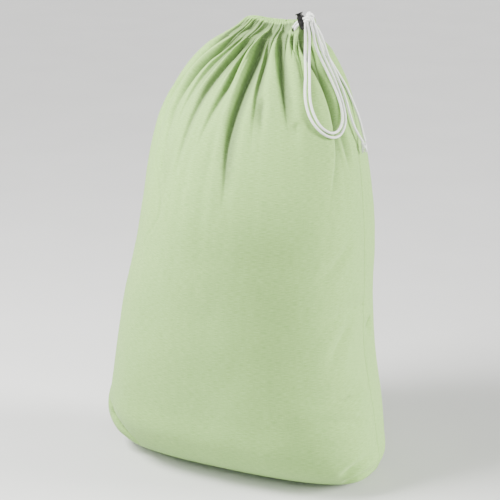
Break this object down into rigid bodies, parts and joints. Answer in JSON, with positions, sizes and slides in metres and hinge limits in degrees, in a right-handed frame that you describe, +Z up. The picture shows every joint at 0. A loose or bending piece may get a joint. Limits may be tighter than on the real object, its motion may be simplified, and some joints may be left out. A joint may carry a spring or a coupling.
{
  "type": "drawstring laundry bag",
  "caption": "Filled drawstring laundry bag of soft sage cloth, gathered at the neck by a white cord with a black spring cord lock.",
  "frame": {"origin": "centre of the box of the filled bag at its base, on the surface it stands on", "axes": "+Z up, from base to neck; the front panel faces -Y; the drawstring and cord lock are at the +X end of the neck"},
  "size_m": [0.4749, 0.3604, 0.7702],
  "materials": {
    "cloth": "soft heathered sage-green plain cotton",
    "seam_thread": "matte sewing thread",
    "cord": "white braided cotton cord",
    "lock_plastic": "black moulded plastic, fine satin",
    "spring_steel": "drawn spring wire"
  },
  "bodies": {
    "bag": {"front_panel": "cloth", "back_panel": "cloth", "front_casing": "cloth", "back_casing": "cloth", "left_side_seam": "seam_thread", "right_side_seam": "seam_thread", "bottom_seam": "seam_thread", "casing_stitching": "seam_thread", "cord_exit_buttonhole": "seam_thread", "casing_cord": "cord", "cord_lead_a": "cord", "cord_lead_b": "cord", "cord_loop_a": "cord", "cord_loop_b": "cord", "cord_tail_a": "cord", "cord_tail_b": "cord", "slip_knot": "cord", "end_knot": "cord"},
    "cord_lock": {"lock_barrel": "lock_plastic", "lock_spring": "spring_steel"},
    "plunger": {"lock_plunger": "lock_plastic"}
  },
  "joints": [
    {"name": "lock_slide", "type": "slide", "parent": "bag", "child": "cord_lock", "axis": [0.8315, -0.4208, 0.3627], "range_m": [0, 0.003]},
    {"name": "plunger_press", "type": "slide", "parent": "cord_lock", "child": "plunger", "axis": [0.3998, 0, -0.9166], "range_m": [0, 0.003], "stiffness_N_per_m": 500, "springref_m": -0.002, "deforming": ["lock_spring"]}
  ]
}
